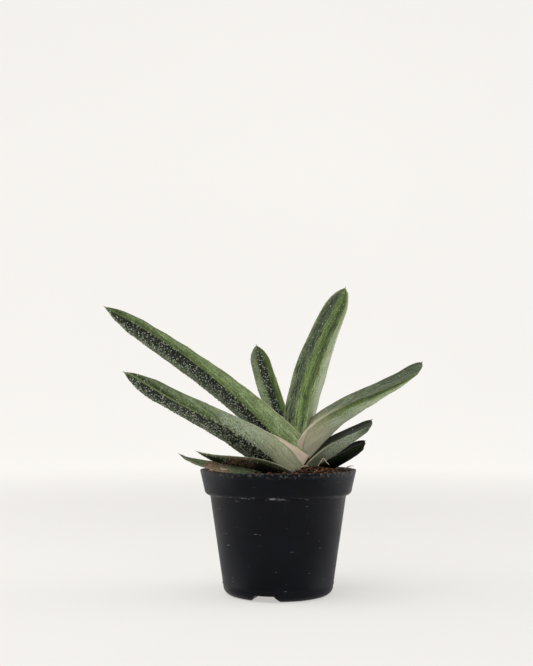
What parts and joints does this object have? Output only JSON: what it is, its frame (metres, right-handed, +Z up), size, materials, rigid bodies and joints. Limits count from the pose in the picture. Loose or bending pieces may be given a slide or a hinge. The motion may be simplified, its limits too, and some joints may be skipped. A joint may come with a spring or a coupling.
{
  "type": "gasteria in a nursery pot",
  "caption": "Young gasteria with thick, keeled, tongue-shaped leaves in a tapered nursery pot with a stepped collar, standing free.",
  "frame": {"origin": "middle of the pot's flat underside, on the surface that it stands on", "axes": "+Z up the pot's axis, -Y towards the viewer of the pictured front, +X to that viewer's right"},
  "size_m": [0.2165, 0.105, 0.21],
  "materials": {
    "pot_plastic": "satin black moulded plastic",
    "soil_earth": "coarse brown bark and peat",
    "stem_skin": "pale fleshy stem and roots",
    "leaf_skin": "rough green succulent skin with pale tubercles"
  },
  "bodies": {
    "root": {"pot": "pot_plastic", "soil": "soil_earth", "stem": "stem_skin", "leaf_tall": "leaf_skin", "leaf_back": "leaf_skin", "leaf_right": "leaf_skin", "leaf_upper_left": "leaf_skin", "leaf_lower_left": "leaf_skin", "leaf_short_right": "leaf_skin", "leaf_low_right": "leaf_skin", "leaf_front_left": "leaf_skin", "leaf_lowest_left": "leaf_skin"}
  },
  "joints": []
}
